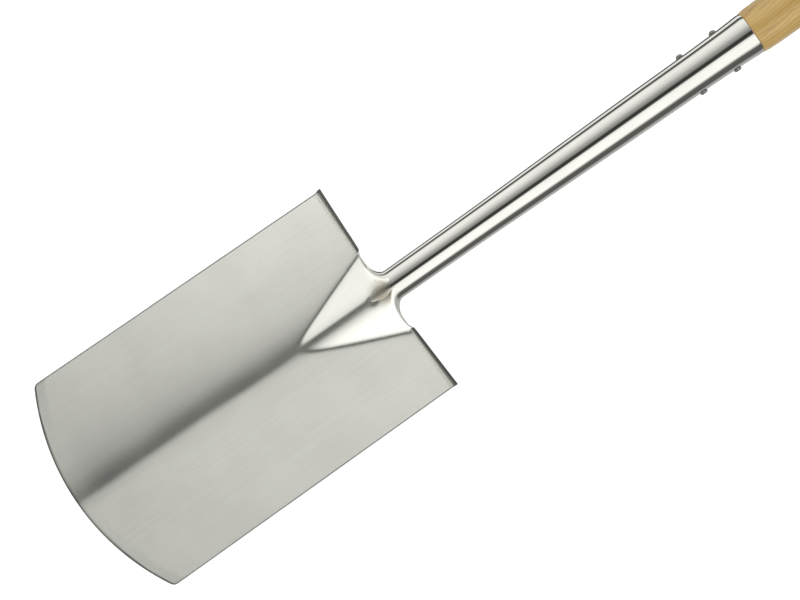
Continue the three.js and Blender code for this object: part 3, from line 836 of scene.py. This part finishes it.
def ash():
    def rings(nodes, place):
        """Growth rings about a line beside the shaft, as light and dark bands along the grain."""
        wander = nodes.noise(place, 14, (1, 1, 0.4))
        across = nodes.vector("MULTIPLY", nodes.vector("ADD", place, (0.043, 0.021, 0)), (1, 1, 0.02))
        radius = nodes.vector("LENGTH", across, output="Value")
        phase = nodes.maths("MULTIPLY_ADD", wander, 0.03, radius)
        wave = nodes.maths("SINE", nodes.maths("MULTIPLY", phase, 2 * math.pi / (3.1 * MM)))
        patchy = nodes.range(nodes.noise(place, 60, (1, 1, 0.15), detail=2), 0.35, 0.65, 0.35, 1.0)
        return nodes.maths("MULTIPLY", nodes.range(wave, -0.3, 1.0), patchy)

    def pores(nodes, place):
        return nodes.range(nodes.noise(place, 1500, (1, 1, 0.02), detail=3), 0.54, 0.72)

    def colour(nodes, place):
        broad = nodes.noise(place, 90, (1, 1, 0.03), detail=3)
        pale = nodes.blend(nodes.range(broad, 0.3, 0.7), (0.74, 0.50, 0.175, 1), (0.61, 0.395, 0.12, 1))
        late = nodes.maths("MULTIPLY", rings(nodes, place), 0.5)
        ringed = nodes.blend(late, pale, (0.43, 0.25, 0.066, 1))
        open_pores = nodes.maths("MULTIPLY", pores(nodes, place), 0.5)
        return nodes.blend(open_pores, ringed, (0.30, 0.16, 0.045, 1))

    def roughness(nodes, place):
        return nodes.range(nodes.noise(place, 200, (1, 1, 0.05), detail=3), 0.3, 0.7, 0.34, 0.5)

    def bump(nodes, place):
        fibres = nodes.noise(place, 700, (1, 1, 0.03))
        grain = nodes.maths("SUBTRACT", fibres, pores(nodes, place))
        return nodes.maths("MULTIPLY_ADD", rings(nodes, place), -0.5, grain)

    return new_material("ash", 0.0, colour, roughness, bump, 0.35, 0.12 * MM, coat=0.25)


BLADE_STEEL = blade_steel()
SOCKET_STEEL = socket_steel()
RIVET_STEEL = rivet_steel()
ASH = ash()
build_blade(BLADE_STEEL)
build_back_plate(BLADE_STEEL)
build_seam(BLADE_STEEL, -1, "left")
build_seam(BLADE_STEEL, 1, "right")
build_socket(SOCKET_STEEL)
build_throat(SOCKET_STEEL)
build_fasteners(RIVET_STEEL)
build_grip(ASH)
build_shaft(ASH)
build_wedge(ASH)


# ---------------------------------------------------------------- studio and camera
# Brightness of the studio round the spade, by the angle from straight in front of the blade (degrees,
# positive to the right): long soft boxes with a dark gap between them, and dark flags and narrow
# strips at the sides and behind. It shows only in reflections; the camera sees white paper.
STUDIO_LIGHT = 1.6
STUDIO_RING = [
    (-180, 0.02), (-142, 0.02), (-134, 0.72), (-118, 0.72), (-111, 0.08), (-99, 0.04), (-93, 0.5),
    (-87, 0.78), (-70, 0.8), (-50, 0.66), (-36, 0.5), (-28, 0.36), (-16, 0.25), (-9, 0.16), (-6, 0.035),
    (10, 0.035), (15, 0.6), (19, 0.82), (30, 0.9), (66, 0.93), (76, 0.5), (83, 0.1), (116, 0.08),
    (126, 0.24), (146, 0.42), (158, 0.35), (167, 0.1), (180, 0.02),
]
FLOOR_DROP = 45 * MM
FLOOR_REACH = 6
PANEL_DISTANCE = 1.2
PANEL_HEIGHT = 1.6
CAMERA_DISTANCE = 1.55
CAMERA_LENS = 86.6
CAMERA_TARGET = Vector((13.5 * MM, 0, TREAD_Z + 5 * MM))


def studio():
    """White paper for the camera, and the ring of soft boxes and the room above it for reflections."""
    world = bpy.data.worlds.new("studio")
    bpy.context.scene.world = world
    world.use_nodes = True
    tree = world.node_tree
    tree.nodes.clear()
    nodes = Nodes(tree)
    direction = nodes.add("ShaderNodeTexCoord", output="Generated")
    split = tree.nodes.new("ShaderNodeSeparateXYZ")
    tree.links.new(direction, split.inputs[0])
    front = nodes.maths("MULTIPLY", split.outputs["Y"], -1.0)
    angle = nodes.maths("ARCTAN2", split.outputs["X"], front)
    place = nodes.maths("MULTIPLY_ADD", angle, 1 / (2 * math.pi), 0.5)
    ring = nodes.ramp(place, [(0.5 + degrees / 360, grey(value)) for degrees, value in STUDIO_RING])
    above = nodes.maths("ABSOLUTE", nodes.maths("SUBTRACT", split.outputs["Z"], 0.12))
    level = nodes.range(above, 0.4, 0.55, 0.0, 0.65)
    room = nodes.blend(level, ring, grey(0.5))
    reflected = nodes.add("ShaderNodeBackground", {"Color": room, "Strength": STUDIO_LIGHT})
    paper = nodes.add("ShaderNodeBackground", {"Color": grey(1), "Strength": 1.05})
    seen = nodes.add("ShaderNodeLightPath", output="Is Camera Ray")
    both = nodes.add("ShaderNodeMixShader", {0: seen, 1: reflected, 2: paper})
    out = tree.nodes.new("ShaderNodeOutputWorld")
    tree.links.new(both, out.inputs["Surface"])
    bpy.context.scene.view_settings.view_transform = "Standard"


def studio_floor():
    """Plain pale floor, well below the blade and bright enough to run into the white of the room."""
    mesh = bpy.data.meshes.new("floor")
    z, r = foot_of("blade")[2] - FLOOR_DROP, FLOOR_REACH
    mesh.from_pydata([(-r, -r, z), (r, -r, z), (r, r, z), (-r, r, z)], [], [(0, 1, 2, 3)])
    floor = bpy.data.objects.new("floor", mesh)
    bpy.context.scene.collection.objects.link(floor)
    material = bpy.data.materials.new("floor_paper")
    material.use_nodes = True
    shader = material.node_tree.nodes["Principled BSDF"]
    shader.inputs["Base Color"].default_value = grey(0.55)
    shader.inputs["Roughness"].default_value = 0.9
    shader.inputs["Emission Color"].default_value = grey(1)
    shader.inputs["Emission Strength"].default_value = 0.75
    mesh.materials.append(material)
    floor.visible_glossy = False
    floor.visible_diffuse = False


def blade_panel(name, angle, width, light):
    """A tall soft box in front of the blade that lights only the blade; angle and width in degrees."""
    centre = Vector((0, PLANE_Y, TREAD_Z - BLADE_LENGTH / 2))
    data = bpy.data.lights.new(name, "AREA")
    data.shape = "RECTANGLE"
    data.size = 2 * PANEL_DISTANCE * math.tan(math.radians(width / 2))
    data.size_y = PANEL_HEIGHT
    data.energy = light * math.pi * data.size * PANEL_HEIGHT
    panel = bpy.data.objects.new(name, data)
    bpy.context.scene.collection.objects.link(panel)
    toward = Vector((math.sin(math.radians(angle)), -math.cos(math.radians(angle)), 0.12))
    panel.location = centre + toward * PANEL_DISTANCE
    panel.rotation_euler = toward.to_track_quat("Z", "Y").to_euler()
    panel.light_linking.receiver_collection = bpy.data.collections["blade_only"]


def photo_camera():
    """The photo's view: almost straight at the blade, rolled so that the shaft runs up to the right."""
    azimuth, elevation, roll = np.radians([1.5, -4.45, 54.86])
    data = bpy.data.cameras.new("camera")
    data.sensor_width = 36
    data.lens = CAMERA_LENS
    data.clip_end = 100
    camera = bpy.data.objects.new("camera", data)
    bpy.context.scene.collection.objects.link(camera)
    level = math.cos(elevation)
    outward = Vector((math.sin(azimuth) * level, -math.cos(azimuth) * level, math.sin(elevation)))
    level_right = Vector((0, 0, 1)).cross(outward).normalized()
    level_up = outward.cross(level_right)
    right = level_right * math.cos(roll) + level_up * math.sin(roll)
    up = level_up * math.cos(roll) - level_right * math.sin(roll)
    matrix = Matrix((right, up, outward)).transposed().to_4x4()
    matrix.translation = CAMERA_TARGET + outward * CAMERA_DISTANCE
    camera.matrix_world = matrix
    bpy.context.scene.camera = camera


studio()
studio_floor()
blade_only = bpy.data.collections.new("blade_only")
blade_only.objects.link(bpy.data.objects["blade_pressing"])
blade_panel("panel_right", 27, 42, 0.71)
blade_panel("panel_left", -32.5, 44, 0.74)
blade_panel("panel_middle", 0, 14, 0.05)
photo_camera()
